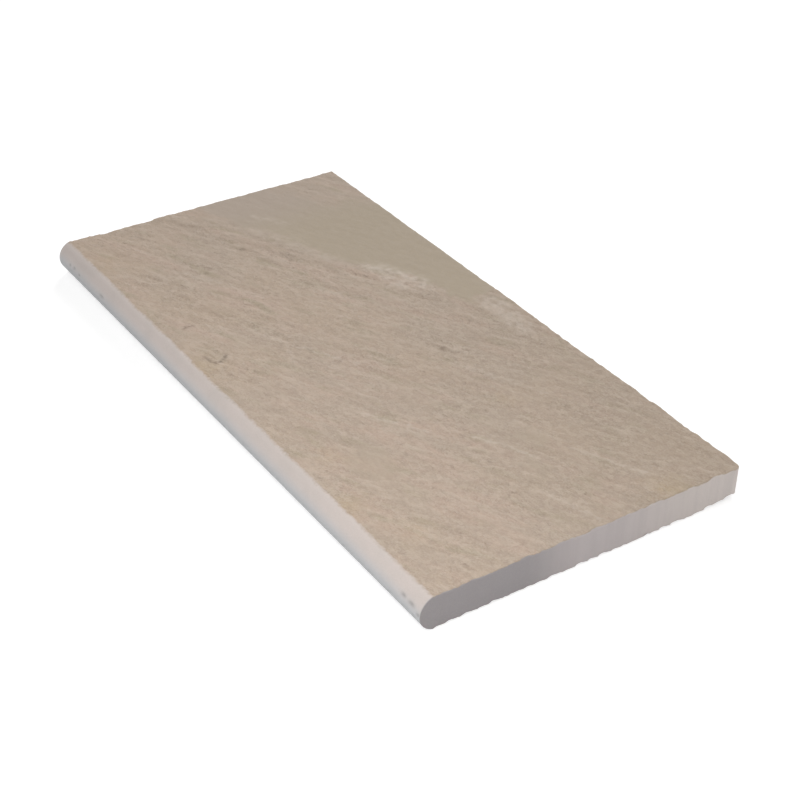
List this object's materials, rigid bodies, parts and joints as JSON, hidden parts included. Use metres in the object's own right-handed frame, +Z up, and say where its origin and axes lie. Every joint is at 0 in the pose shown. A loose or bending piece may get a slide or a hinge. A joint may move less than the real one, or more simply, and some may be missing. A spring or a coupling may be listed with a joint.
{
  "type": "sandstone pool coping stone",
  "caption": "Rectangular pool coping slab of riven sandstone with a half-round bullnose along one long edge.",
  "frame": {"origin": "middle of the bed (underside), on the level the stone lies on", "axes": "+X along the length, -Y out of the bullnose, +Z up out of the riven top"},
  "size_m": [0.6, 0.3, 0.0299],
  "materials": {
    "sandstone": "riven top, honed nose"
  },
  "bodies": {
    "root": {"coping_stone": "sandstone"}
  },
  "joints": []
}
